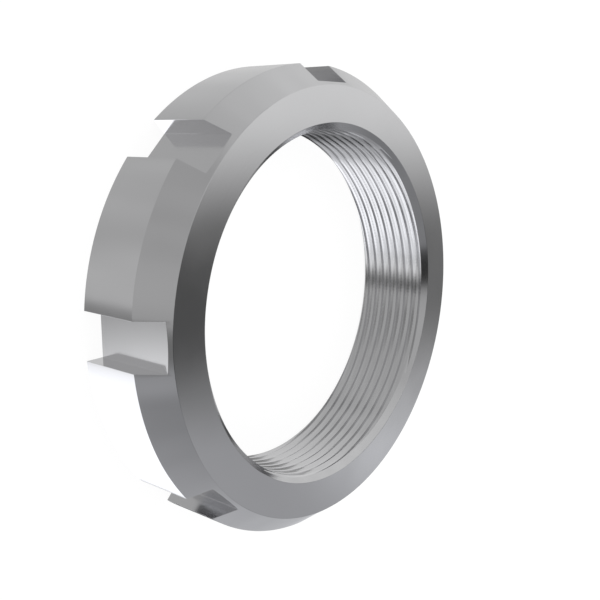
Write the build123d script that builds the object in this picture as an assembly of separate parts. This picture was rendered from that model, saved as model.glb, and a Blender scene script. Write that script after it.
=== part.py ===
from build123d import *
import math
import os

# Slotted round lock nut for a spindle, turned and milled from one piece of steel.
# Frame: the origin is the centre of the plain rear face, +Z runs along the bore axis
# to the chamfered clamping face, and one spanner slot is centred on +X.
# All lengths are millimetres.

# Fine metric thread, of which the solid holds the bore at its crests
THREAD_DIAMETER = 70.0
THREAD_PITCH = 2.0

# Body, whose rim lies one wall outside the thread's roots
RIM_WALL = 11.0
BODY_WIDTH = 17.5

# Chamfer that leads from the rim down to the clamping face
CHAMFER_DROP = 4.0  # taken off the radius
CHAMFER_LENGTH = 5.2  # taken off the width

# Countersunk mouths at the two ends of the thread
MOUTH_CLEARANCE = 0.1  # how far a mouth's edge stands outside the thread's roots
CLAMPING_MOUTH_DEPTH = 1.2
REAR_MOUTH_DEPTH = 1.0

# Spanner slots, open at the rim and at both faces, with flat floors
SLOT_COUNT = 8
SLOT_WIDTH = 8.6
SLOT_DEPTH = 3.5  # from the rim's radius to the floor

# Height of a metric thread's flank, as a share of the pitch: five eighths of the
# height of the sharp triangle that the profile is cut from
THREAD_HEIGHT_SHARE = 5 / 8 * math.sqrt(3) / 2

root_radius = THREAD_DIAMETER / 2
crest_radius = root_radius - THREAD_HEIGHT_SHARE * THREAD_PITCH
mouth_radius = root_radius + MOUTH_CLEARANCE
rim_radius = root_radius + RIM_WALL
face_radius = rim_radius - CHAMFER_DROP
slot_floor_radius = rim_radius - SLOT_DEPTH


def turned_blank():
    """The ring as it leaves the lathe: one half section turned about the bore axis."""
    section = Polyline(
        (crest_radius, REAR_MOUTH_DEPTH),
        (mouth_radius, 0),
        (rim_radius, 0),
        (rim_radius, BODY_WIDTH - CHAMFER_LENGTH),
        (face_radius, BODY_WIDTH),
        (mouth_radius, BODY_WIDTH),
        (crest_radius, BODY_WIDTH - CLAMPING_MOUTH_DEPTH),
        close=True,
    )
    return revolve(Plane.XZ * make_face(section), Axis.Z)


def slot_cutter():
    """The straight path of a milling cutter along the axis, flat on its inner side."""
    beyond_rim = SLOT_DEPTH
    beyond_face = BODY_WIDTH / 4
    path = Box(
        SLOT_DEPTH + beyond_rim,
        SLOT_WIDTH,
        BODY_WIDTH + 2 * beyond_face,
        align=(Align.MIN, Align.CENTER, Align.MIN),
    )
    return Pos(slot_floor_radius, 0, -beyond_face) * path


def milled_slots():
    """The cutter's path, repeated evenly round the rim."""
    return [Rot(0, 0, turn * 360 / SLOT_COUNT) * slot_cutter() for turn in range(SLOT_COUNT)]


def lock_nut():
    """The blank with its spanner slots cut through the rim and the chamfer."""
    return turned_blank() - milled_slots()


os.makedirs("parts", exist_ok=True)
nut = lock_nut()
nut.label = "lock_nut"
export_step(nut, "parts/lock_nut.step")
print("rim diameter", 2 * rim_radius, "bore diameter", round(2 * crest_radius, 3), "volume", round(nut.volume, 1))
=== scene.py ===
import math

import bpy
from mathutils import Matrix, Quaternion, Vector

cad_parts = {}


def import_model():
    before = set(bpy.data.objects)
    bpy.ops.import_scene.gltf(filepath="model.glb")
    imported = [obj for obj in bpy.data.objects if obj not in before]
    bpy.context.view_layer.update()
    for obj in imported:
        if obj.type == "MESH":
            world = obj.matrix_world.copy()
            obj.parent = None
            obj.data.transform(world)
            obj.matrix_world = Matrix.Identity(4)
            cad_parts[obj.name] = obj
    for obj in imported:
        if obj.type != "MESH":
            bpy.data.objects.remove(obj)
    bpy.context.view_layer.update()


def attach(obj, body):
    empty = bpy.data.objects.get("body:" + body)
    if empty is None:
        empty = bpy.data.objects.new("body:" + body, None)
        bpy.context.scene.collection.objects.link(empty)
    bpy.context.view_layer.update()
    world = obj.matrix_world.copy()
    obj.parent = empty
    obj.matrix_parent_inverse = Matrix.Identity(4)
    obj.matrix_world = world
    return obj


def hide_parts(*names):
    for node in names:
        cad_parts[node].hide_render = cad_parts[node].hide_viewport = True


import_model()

# Slotted round lock nut for a spindle, in metres, in the frame of the CAD part: the
# plain rear face lies on the floor and the bore axis points up.
MM = 0.001

# Ring
RIM_RADIUS = 46.0 * MM
FACE_RADIUS = 42.0 * MM
MOUTH_RADIUS = 35.1 * MM
CREST_RADIUS = 33.9175 * MM
WIDTH = 17.5 * MM
RIM_WIDTH = 12.3 * MM
FRONT_MOUTH_DEPTH = 1.2 * MM
REAR_MOUTH_DEPTH = 1.0 * MM

# Spanner slots
SLOT_COUNT = 8
SLOT_WIDTH = 8.6 * MM
SLOT_FLOOR_RADIUS = 42.5 * MM
CUTTER_REACH = 12 * MM  # from a slot's floor to well outside the rim

# Left-hand thread with four starts: narrow grooves between wide, slightly crowned lands
PITCH = 2.0 * MM
THREAD_STARTS = 4
THREAD_TURNS = 3
THREAD_BEGINS = -2.0 * MM
FLANK_LEAN = math.radians(30)
GROOVE_WIDTH = 0.60 * MM
GROOVE_BOTTOM = 0.09 * MM
LAND_TOP = 0.30 * MM
LAND_SLOPE = math.radians(4)
TAP_SHOULDER = 0.1 * MM  # how far a tap's section goes on past the slopes that it cuts
TAP_BACK = 0.3 * MM  # how far its back stands inside the crests

# Finish of the mesh
FACETS = 288
BROKEN_EDGE = 0.05 * MM
SHARP_EDGE = math.radians(30)
SMOOTH_BELOW = math.radians(25)
FACES_UP = 0.9  # a face that points up has at least this as its normal's height
SMALL = 0.02 * MM

# Steel: the tool's fine rings and a faint cloud, both from noise between these two values
NOISE_LOW, NOISE_HIGH = 0.3, 0.7
RING_SCALE = 2500
RING_RELIEF = 0.5
RING_HEIGHT = 0.003 * MM
CLOUD_SCALE = 90
GLOSSY, SATIN = 0.12, 0.16
STEEL_DARK = (0.74, 0.74, 0.75, 1)
STEEL_LIGHT = (0.77, 0.77, 0.78, 1)

# Camera of the photograph, solved from the nut's rings and slot corners
CAMERA_AIM = Vector((-0.108, 0.039, 8.75)) * MM
CAMERA_DISTANCE = 166.65 * MM
CAMERA_SIDE = Vector((-0.75484, 0.20253, 0.62385))
CAMERA_ROLL = math.radians(99.48)
CAMERA_LENS = 49.44
CAMERA_SENSOR = 36
CAMERA_NEAR = 0.01

# Floor: its glow to the camera, the share of shadow that it shows, and its true paint
FLOOR_SIZE = 20
FLOOR_GLOW = 0.92
FLOOR_SHADOW = 0.12
FLOOR_PAINT = 0.9

# Studio tent. A place on it is a direction from the nut. Front is the way that the bore
# axis points. Along and up lie in the nut's plane: in the photo, up is the way to the
# top, and along runs to the right and away.
TENT_RADIUS = 5.0
TENT_TURN = math.radians(9.1)
STRIPE_REACH, STRIPE_CORE = 0.08, 0.03
FOLD_SCALE = 6
FOLD_DIM, FOLD_BRIGHT = 0.955, 1.045
WHITE = (1, 1, 1, 1)
FAINT_BLUE = (0.985, 0.995, 1.03, 1)

# Soft lamps on the tent: gain, place (along, up, front), reach and even core. A gain
# below 0 dims the tent there.
UPPER_SPOTS = [
    (0.12, (0.78, 0.20, 0.58), 0.50, 0.10),
    (0.11, (-0.70, 0.00, -0.72), 0.30, 0.12),
    (-0.10, (0.10, 0.76, -0.64), 0.50, 0.15),
    (-0.03, (-0.70, 0.55, 0.40), 0.45, 0.20),
    (0.04, (-0.45, 0.42, -0.80), 0.35, 0.10),
    (0.05, (-0.60, 0.35, 0.72), 0.30, 0.12),
]
LOWER_SPOTS = [
    (0.75, (-0.73, -0.42, -0.54), 0.14, 0.05),
    (0.75, (-0.57, -0.395, -0.73), 0.11, 0.03),
    (0.235, (0.72, -0.30, 0.62), 0.40, 0.12),
    (0.27, (0.84, -0.24, 0.50), 0.15, 0.02),
    (0.09, (-0.73, -0.58, 0.37), 0.22, 0.05),
]
WAIST_SPOTS = [
    (0.20, (0.86, -0.15, 0.49), 0.10, 0.0),
    (0.38, (0.44, -0.55, 0.71), 0.18, 0.05),
    (0.32, (-0.81, -0.37, -0.40), 0.12, 0.04),
    (0.28, (-0.68, -0.36, -0.63), 0.10, 0.04),
    (0.45, (0.95, -0.17, -0.19), 0.13, 0.06),
    (0.50, (-0.05, -0.97, -0.20), 0.20, 0.08),
]

# Dark cards before the tent: share of the light that each takes away, place, reach and core.
SHADES = [
    (0.70, (-0.60, -0.42, 0.68), 0.30, 0.12),
    (0.80, (0.51, -0.52, -0.69), 0.18, 0.11),
    (0.97, (0.64, -0.36, -0.67), 0.20, 0.12),
    (0.85, (0.76, -0.21, -0.61), 0.15, 0.07),
    (0.98, (0.00, -0.30, 0.95), 0.30, 0.18),
    (0.65, (-0.43, -0.36, 0.83), 0.19, 0.12),
    (0.72, (0.36, 0.46, 0.81), 0.30, 0.17),
    (0.80, (0.90, -0.09, -0.41), 0.12, 0.05),
    (0.40, (0.05, 0.98, -0.15), 0.26, 0.14),
    (0.60, (-0.80, -0.22, -0.53), 0.12, 0.05),
    (0.55, (0.78, 0.21, -0.60), 0.11, 0.05),
    (0.35, (-0.79, -0.05, -0.61), 0.13, 0.07),
    (0.32, (-0.62, -0.56, -0.55), 0.19, 0.09),
    (0.60, (-0.77, -0.54, -0.33), 0.15, 0.06),
    (0.60, (-0.06, 0.12, 0.99), 0.24, 0.15),
    (0.55, (-0.27, 0.92, -0.27), 0.17, 0.07),
    (0.65, (0.66, -0.50, -0.56), 0.12, 0.05),
]


def deselect_all():
    """Nothing stays selected from before, so that the next operator acts on its own piece."""
    if bpy.context.object and bpy.context.object.mode != "OBJECT":
        bpy.ops.object.mode_set(mode="OBJECT")
    bpy.ops.object.select_all(action="DESELECT")


def make_active(piece):
    """Select this piece alone."""
    deselect_all()
    piece.select_set(True)
    bpy.context.view_layer.objects.active = piece


def select_faces(piece, wanted):
    """In edit mode, select the faces for which wanted(face) holds."""
    bpy.ops.mesh.select_mode(type="FACE")
    bpy.ops.mesh.select_all(action="DESELECT")
    bpy.ops.object.mode_set(mode="OBJECT")
    for face in piece.data.polygons:
        face.select = wanted(face)
    bpy.ops.object.mode_set(mode="EDIT")


def select_edges(piece, wanted):
    """In edit mode, select the edges for which wanted(end, other_end) holds."""
    bpy.ops.mesh.select_mode(type="EDGE")
    bpy.ops.mesh.select_all(action="DESELECT")
    bpy.ops.object.mode_set(mode="OBJECT")
    points = piece.data.vertices
    for edge in piece.data.edges:
        edge.select = wanted(points[edge.vertices[0]].co, points[edge.vertices[1]].co)
    bpy.ops.object.mode_set(mode="EDIT")


def from_axis(point):
    """Distance of a point from the bore axis."""
    return math.hypot(point.x, point.y)


def on_rear_circle(point, radius):
    """Whether a point lies in the rear face, at this distance from the axis."""
    return abs(from_axis(point) - radius) < SMALL and abs(point.z) < SMALL


def on_rear_rings(end, other_end):
    """Whether an edge lies on the rim or on the bore's mouth, in the rear face."""
    rings = (RIM_RADIUS, MOUTH_RADIUS)
    return any(on_rear_circle(end, ring) and on_rear_circle(other_end, ring) for ring in rings)


def step_in(rise, share):
    """Extrude the selected face along the axis and scale its rim, as one step of the section."""
    bpy.ops.mesh.extrude_region_move(TRANSFORM_OT_translate={"value": (0, 0, rise)})
    bpy.ops.transform.resize(value=(share, share, 1), center_override=(0, 0, 0))


def turned_blank():
    """The ring as it leaves the lathe: rim, chamfer, clamping face, countersunk bore."""
    deselect_all()
    bpy.ops.mesh.primitive_cylinder_add(
        vertices=FACETS, radius=RIM_RADIUS, depth=RIM_WIDTH, location=(0, 0, RIM_WIDTH / 2)
    )
    blank = bpy.context.object
    bpy.ops.object.transform_apply(location=True, rotation=False, scale=False)
    bpy.ops.object.mode_set(mode="EDIT")
    select_faces(blank, lambda face: face.normal.z > FACES_UP)
    step_in(WIDTH - RIM_WIDTH, FACE_RADIUS / RIM_RADIUS)
    step_in(0, MOUTH_RADIUS / FACE_RADIUS)
    step_in(-FRONT_MOUTH_DEPTH, CREST_RADIUS / MOUTH_RADIUS)
    step_in(REAR_MOUTH_DEPTH + FRONT_MOUTH_DEPTH - WIDTH, 1)
    step_in(-REAR_MOUTH_DEPTH, MOUTH_RADIUS / CREST_RADIUS)
    select_faces(blank, lambda face: len(face.vertices) == FACETS)
    bpy.ops.mesh.delete(type="ONLY_FACE")
    select_edges(blank, on_rear_rings)
    bpy.ops.mesh.bridge_edge_loops()
    bpy.ops.mesh.select_all(action="SELECT")
    bpy.ops.mesh.normals_make_consistent(inside=False)
    bpy.ops.object.mode_set(mode="OBJECT")
    return blank


def cut(piece, tools):
    """Take the joined tools' shape out of the piece, and put the tools away."""
    deselect_all()
    for tool in tools:
        tool.select_set(True)
    bpy.context.view_layer.objects.active = tools[0]
    bpy.ops.object.join()
    make_active(piece)
    difference = piece.modifiers.new("cut", "BOOLEAN")
    difference.operation = "DIFFERENCE"
    difference.solver = "EXACT"
    difference.object = tools[0]
    bpy.ops.object.modifier_apply(modifier=difference.name)
    bpy.data.objects.remove(tools[0])


def slot_cutter(turn):
    """A milling cutter's path across the rim, its flat side on the slot's floor."""
    deselect_all()
    middle = SLOT_FLOOR_RADIUS + CUTTER_REACH / 2
    bpy.ops.mesh.primitive_cube_add(size=1, location=(middle, 0, WIDTH / 2))
    path = bpy.context.object
    path.scale = (CUTTER_REACH, SLOT_WIDTH, 2 * WIDTH)
    bpy.ops.object.transform_apply(location=True, rotation=False, scale=True)
    path.data.transform(Matrix.Rotation(turn * math.tau / SLOT_COUNT, 4, "Z"))
    return path


def break_edges(nut):
    """Take the sharpness off every edge that stands out; the slots' inner corners stay sharp."""
    corner = math.hypot(SLOT_FLOOR_RADIUS, SLOT_WIDTH / 2)
    make_active(nut)
    bpy.ops.object.mode_set(mode="EDIT")
    bpy.ops.mesh.select_mode(type="EDGE")
    bpy.ops.mesh.select_all(action="DESELECT")
    bpy.ops.mesh.edges_select_sharp(sharpness=SHARP_EDGE)
    bpy.ops.object.mode_set(mode="OBJECT")
    points = nut.data.vertices
    for edge in nut.data.edges:
        ends = [points[index].co for index in edge.vertices]
        in_corner = all(abs(from_axis(end) - corner) < SMALL for end in ends)
        if in_corner and abs(ends[0].z - ends[1].z) > MM:
            edge.select = False
    bpy.ops.object.mode_set(mode="EDIT")
    bpy.ops.mesh.bevel(offset=BROKEN_EDGE, segments=2, affect="EDGES", clamp_overlap=False)
    bpy.ops.object.mode_set(mode="OBJECT")


def tap_section():
    """A groove between the slopes of two lands, as radius and height, in order round the section."""
    land = (PITCH - LAND_TOP) / 2
    end = land + TAP_SHOULDER
    back = CREST_RADIUS - TAP_BACK
    lip = CREST_RADIUS - TAP_SHOULDER * math.tan(LAND_SLOPE)
    edge = CREST_RADIUS + (land - GROOVE_WIDTH / 2) * math.tan(LAND_SLOPE)
    bottom = edge + (GROOVE_WIDTH - GROOVE_BOTTOM) / 2 / math.tan(FLANK_LEAN)
    section = [(back, end), (lip, end), (edge, GROOVE_WIDTH / 2), (bottom, GROOVE_BOTTOM / 2)]
    return section + [(radius, -height) for radius, height in reversed(section)]


def thread_tap(turn):
    """The ridge that cuts one start of the thread: its section, wound left-hand along the axis."""
    section = tap_section()
    deselect_all()
    bpy.ops.mesh.primitive_circle_add(vertices=len(section), fill_type="NOTHING")
    tap = bpy.context.object
    tap.name = "thread_tap"
    for point, (radius, height) in zip(tap.data.vertices, section):
        point.co = (radius, 0, THREAD_BEGINS + height)
    screw = tap.modifiers.new("screw", "SCREW")
    screw.angle = -math.tau
    screw.screw_offset = THREAD_STARTS * PITCH
    screw.iterations = THREAD_TURNS
    screw.steps = FACETS
    screw.render_steps = FACETS
    screw.use_merge_vertices = False
    screw.use_smooth_shade = False
    bpy.ops.object.modifier_apply(modifier=screw.name)
    bpy.ops.object.mode_set(mode="EDIT")
    bpy.ops.mesh.select_mode(type="EDGE")
    bpy.ops.mesh.select_all(action="DESELECT")
    bpy.ops.mesh.select_non_manifold()
    bpy.ops.mesh.edge_face_add()
    bpy.ops.mesh.select_all(action="SELECT")
    bpy.ops.mesh.normals_make_consistent(inside=False)
    bpy.ops.object.mode_set(mode="OBJECT")
    # half a facet on, so that its corners lie between the bore's
    tap.data.transform(Matrix.Rotation(turn * math.tau / THREAD_STARTS + math.pi / FACETS, 4, "Z"))
    return tap


def lock_nut():
    """The blank with its slots milled, its edges broken and its thread cut."""
    nut = turned_blank()
    cut(nut, [slot_cutter(turn) for turn in range(SLOT_COUNT)])
    break_edges(nut)
    cut(nut, [thread_tap(turn) for turn in range(THREAD_STARTS)])
    make_active(nut)
    bpy.ops.object.shade_smooth_by_angle(angle=SMOOTH_BELOW)
    weighted = nut.modifiers.new("flat faces stay flat", "WEIGHTED_NORMAL")
    weighted.mode = "FACE_AREA"
    weighted.weight = 100
    weighted.keep_sharp = True
    bpy.ops.object.modifier_apply(modifier=weighted.name)
    return nut


def wire(tree, value, socket):
    """Give a socket a number, or link it to another node's output."""
    if isinstance(value, (int, float)):
        socket.default_value = value
    else:
        tree.links.new(value, socket)


def sums(tree, operation, *values):
    """One step of arithmetic on numbers or other nodes' outputs."""
    step = tree.nodes.new("ShaderNodeMath")
    step.operation = operation
    for value, socket in zip(values, step.inputs):
        wire(tree, value, socket)
    return step.outputs[0]


def ramp(tree, value, start, end, low=0.0, high=1.0, smooth=True):
    """Goes from low at start to high at end, and stays level outside."""
    step = tree.nodes.new("ShaderNodeMapRange")
    step.interpolation_type = "SMOOTHSTEP" if smooth else "LINEAR"
    sockets = ("Value", "From Min", "From Max", "To Min", "To Max")
    for name, number in zip(sockets, (value, start, end, low, high)):
        wire(tree, number, step.inputs[name])
    return step.outputs["Result"]


def noise(tree, where, scale, detail):
    """A soft random pattern, about 0.5 on average."""
    step = tree.nodes.new("ShaderNodeTexNoise")
    step.inputs["Scale"].default_value = scale
    step.inputs["Detail"].default_value = detail
    tree.links.new(where, step.inputs["Vector"])
    return step.outputs["Fac"]


def blend(tree, share, first, second):
    """The first colour at share 0, the second at share 1."""
    step = tree.nodes.new("ShaderNodeMix")
    step.data_type = "RGBA"
    step.inputs["A"].default_value = first
    step.inputs["B"].default_value = second
    tree.links.new(share, step.inputs["Factor"])
    return step.outputs["Result"]


def turned_steel():
    """Bare steel, fine turned: satin, with fine rings from the tool and a faint cloud in its gloss."""
    steel = bpy.data.materials.new("turned_steel")
    steel.use_nodes = True
    tree = steel.node_tree
    shader = tree.nodes["Principled BSDF"]
    shader.inputs["Metallic"].default_value = 1
    where = tree.nodes.new("ShaderNodeTexCoord").outputs["Object"]

    split = tree.nodes.new("ShaderNodeSeparateXYZ")
    tree.links.new(where, split.inputs[0])
    across, over, height = split.outputs
    squares = sums(tree, "MULTIPLY_ADD", over, over, sums(tree, "MULTIPLY", across, across))
    rings_at = tree.nodes.new("ShaderNodeCombineXYZ")
    tree.links.new(sums(tree, "SQRT", squares), rings_at.inputs["X"])
    tree.links.new(height, rings_at.inputs["Y"])
    relief = tree.nodes.new("ShaderNodeBump")
    relief.inputs["Strength"].default_value = RING_RELIEF
    relief.inputs["Distance"].default_value = RING_HEIGHT
    tree.links.new(noise(tree, rings_at.outputs[0], RING_SCALE, 2), relief.inputs["Height"])
    tree.links.new(relief.outputs[0], shader.inputs["Normal"])

    cloud = noise(tree, where, CLOUD_SCALE, 3)
    roughness = ramp(tree, cloud, NOISE_LOW, NOISE_HIGH, GLOSSY, SATIN)
    tree.links.new(roughness, shader.inputs["Roughness"])
    tree.links.new(blend(tree, cloud, STEEL_DARK, STEEL_LIGHT), shader.inputs["Base Color"])
    return steel


def nearness(tree, place, centre, reach, core):
    """1 within core of the centre, falling to 0 at reach."""
    step = tree.nodes.new("ShaderNodeVectorMath")
    step.operation = "DISTANCE"
    tree.links.new(place, step.inputs[0])
    step.inputs[1].default_value = centre
    return ramp(tree, step.outputs["Value"], core, reach, 1.0, 0.0)


def spots(tree, light, place, lamps):
    """Add the lamps' gains to the light, each round its own place on the tent."""
    for gain, centre, reach, core in lamps:
        light = sums(tree, "MULTIPLY_ADD", nearness(tree, place, centre, reach, core), gain, light)
    return light


def stripe(tree, share, offset, where):
    """A thin dark stripe on the tent: it takes its share where the offset is near 0 and where is 1."""
    away = sums(tree, "ABSOLUTE", offset)
    return sums(tree, "MULTIPLY", where, ramp(tree, away, STRIPE_REACH, STRIPE_CORE, 0.0, share))


def upper_light(tree, along, place):
    """The light above the waist: stronger on the far right."""
    return spots(tree, ramp(tree, along, -0.6, 0.35, 0.42, 0.645), place, UPPER_SPOTS)


def lower_light(tree, along, front, place):
    """The light below the waist: faint in front, and in two steps strong behind."""
    light = ramp(tree, front, 0.5, -0.45, 0.235, 0.60)
    light = sums(tree, "SUBTRACT", light, ramp(tree, along, 0.2, 0.9, 0.0, 0.09))
    edge = ramp(tree, along, 0.45, 0.10, -0.40, -0.33)
    softness = ramp(tree, along, 0.45, 0.10, -0.24, -0.13)
    behind = sums(tree, "DIVIDE", sums(tree, "SUBTRACT", front, edge), softness)
    light = sums(tree, "MULTIPLY_ADD", ramp(tree, behind, 0.0, 1.0), 0.66, light)
    light = sums(tree, "ADD", light, ramp(tree, front, -0.57, -0.66, 0.0, 0.16))
    return spots(tree, light, place, LOWER_SPOTS)


def waist_light(tree, front):
    """The little light in the dark waist."""
    light = ramp(tree, front, 0.72, 0.45, 0.085, 0.18)
    return sums(tree, "ADD", light, ramp(tree, front, -0.5, -0.8, 0.0, 0.07))


def shaded_share(tree, along, up, front, place):
    """How much of the light the dark cards and the thin stripes take away."""
    shares = [
        sums(tree, "MULTIPLY", nearness(tree, place, centre, reach, core), share)
        for share, centre, reach, core in SHADES
    ]
    low = ramp(tree, up, -0.38, -0.48)
    slope = ramp(tree, along, 0.0, 1.0, 0.0, 0.28, smooth=False)
    shares.append(stripe(tree, 0.55, sums(tree, "ADD", sums(tree, "ADD", front, 0.35), slope), low))
    shares.append(stripe(tree, 0.36, sums(tree, "ADD", front, 0.58), low))
    left = sums(tree, "MULTIPLY", ramp(tree, along, -0.50, -0.62), ramp(tree, up, 0.62, 0.05))
    left = sums(tree, "MULTIPLY", left, ramp(tree, up, -0.20, 0.05))
    shares.append(stripe(tree, 0.58, sums(tree, "ADD", front, 0.61), left))
    most = 0.0
    for share in shares:
        most = sums(tree, "MAXIMUM", most, share)
    return most


def tent_cloth():
    """The tent's light: bright above and below, with a dark waist between."""
    cloth = bpy.data.materials.new("tent_cloth")
    cloth.use_nodes = True
    tree = cloth.node_tree
    tree.nodes.clear()
    out = tree.nodes.new("ShaderNodeOutputMaterial")
    glow = tree.nodes.new("ShaderNodeEmission")
    tree.links.new(glow.outputs[0], out.inputs["Surface"])

    turned = tree.nodes.new("ShaderNodeMapping")
    turned.inputs["Rotation"].default_value = (0, 0, TENT_TURN)
    turned.inputs["Scale"].default_value = (1 / TENT_RADIUS, 1 / TENT_RADIUS, 1 / TENT_RADIUS)
    tree.links.new(tree.nodes.new("ShaderNodeTexCoord").outputs["Object"], turned.inputs["Vector"])
    place = turned.outputs[0]
    split = tree.nodes.new("ShaderNodeSeparateXYZ")
    tree.links.new(place, split.inputs[0])
    along, up, front = split.outputs

    # the waist climbs to the far right and sinks to the front, with soft edges
    waist = sums(tree, "MULTIPLY_ADD", along, 0.21, -0.17)
    waist = sums(tree, "MULTIPLY_ADD", front, -0.10, waist)
    upper_end = sums(tree, "MULTIPLY_ADD", front, 0.09, 0.18)
    lower_end = ramp(tree, front, 0.7, -0.8, 0.17, 0.34, smooth=False)
    rise = ramp(tree, sums(tree, "SUBTRACT", up, waist), 0.05, upper_end)
    fall = ramp(tree, sums(tree, "SUBTRACT", waist, up), 0.06, lower_end, smooth=False)
    covered = sums(tree, "SUBTRACT", 1.0, sums(tree, "ADD", rise, fall))

    light = sums(tree, "MULTIPLY", rise, upper_light(tree, along, place))
    light = sums(tree, "MULTIPLY_ADD", fall, lower_light(tree, along, front, place), light)
    light = sums(tree, "MULTIPLY_ADD", covered, waist_light(tree, front), light)
    light = spots(tree, light, place, WAIST_SPOTS)
    kept = sums(tree, "SUBTRACT", 1.0, shaded_share(tree, along, up, front, place))
    light = sums(tree, "MULTIPLY", light, kept)
    folds = ramp(tree, noise(tree, place, FOLD_SCALE, 1), NOISE_LOW, NOISE_HIGH, FOLD_DIM, FOLD_BRIGHT)
    tree.links.new(sums(tree, "MULTIPLY", light, folds), glow.inputs["Strength"])
    tree.links.new(blend(tree, fall, WHITE, FAINT_BLUE), glow.inputs["Color"])
    return cloth


def studio_tent():
    """A big round tent that only the metal's reflections show."""
    deselect_all()
    bpy.ops.mesh.primitive_ico_sphere_add(subdivisions=5, radius=TENT_RADIUS)
    tent = bpy.context.object
    tent.name = "studio_tent"
    tent.data.materials.append(tent_cloth())
    tent.visible_camera = False
    tent.visible_diffuse = False
    tent.visible_transmission = False
    tent.visible_volume_scatter = False
    tent.visible_shadow = False


def grey_paint(tree, level):
    """Plain matt paint: level 0 is black, 1 white."""
    paint = tree.nodes.new("ShaderNodeBsdfDiffuse")
    paint.inputs["Color"].default_value = (level, level, level, 1)
    return paint.outputs[0]


def floor_paint():
    """Pale paint that looks white from the camera and still takes the nut's shadow."""
    paint = bpy.data.materials.new("floor_paint")
    paint.use_nodes = True
    tree = paint.node_tree
    tree.nodes.clear()
    out = tree.nodes.new("ShaderNodeOutputMaterial")
    path = tree.nodes.new("ShaderNodeLightPath")
    seen = sums(tree, "MAXIMUM", path.outputs["Is Camera Ray"], path.outputs["Is Glossy Ray"])
    seen = sums(tree, "MAXIMUM", seen, path.outputs["Is Transmission Ray"])
    white = tree.nodes.new("ShaderNodeEmission")
    white.inputs["Strength"].default_value = FLOOR_GLOW
    backdrop = tree.nodes.new("ShaderNodeAddShader")
    tree.links.new(grey_paint(tree, FLOOR_SHADOW), backdrop.inputs[0])
    tree.links.new(white.outputs[0], backdrop.inputs[1])
    either = tree.nodes.new("ShaderNodeMixShader")
    tree.links.new(seen, either.inputs["Fac"])
    tree.links.new(grey_paint(tree, FLOOR_PAINT), either.inputs[1])
    tree.links.new(backdrop.outputs[0], either.inputs[2])
    tree.links.new(either.outputs[0], out.inputs["Surface"])
    return paint


def floor():
    """A wide white floor, which the metal doesn't reflect."""
    deselect_all()
    bpy.ops.mesh.primitive_plane_add(size=FLOOR_SIZE, location=(0, 0, 0))
    ground = bpy.context.object
    ground.name = "floor"
    ground.data.materials.append(floor_paint())
    ground.visible_glossy = False


def world():
    """An even white light from all sides."""
    sky = bpy.data.worlds.new("studio")
    bpy.context.scene.world = sky
    sky.use_nodes = True
    background = sky.node_tree.nodes["Background"]
    background.inputs["Color"].default_value = WHITE
    background.inputs["Strength"].default_value = 1


def camera():
    """The photograph's view of the lying nut: from 38.6 degrees above, turned on its side."""
    back = CAMERA_SIDE.normalized()
    eye = bpy.data.cameras.new("photo_camera")
    eye.sensor_width = CAMERA_SENSOR
    eye.lens = CAMERA_LENS
    eye.clip_start = CAMERA_NEAR
    holder = bpy.data.objects.new("photo_camera", eye)
    bpy.context.scene.collection.objects.link(holder)
    level = (-back).to_track_quat("-Z", "Y")
    holder.rotation_mode = "QUATERNION"
    holder.rotation_quaternion = level @ Quaternion((0, 0, 1), CAMERA_ROLL)
    holder.location = CAMERA_AIM + back * CAMERA_DISTANCE
    bpy.context.scene.camera = holder


nut = lock_nut()
nut.name = "lock_nut_turned"
nut.data.materials.clear()
nut.data.materials.append(turned_steel())
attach(nut, "root")
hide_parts("lock_nut")
studio_tent()
floor()
world()
camera()
bpy.context.scene.view_settings.view_transform = "Standard"
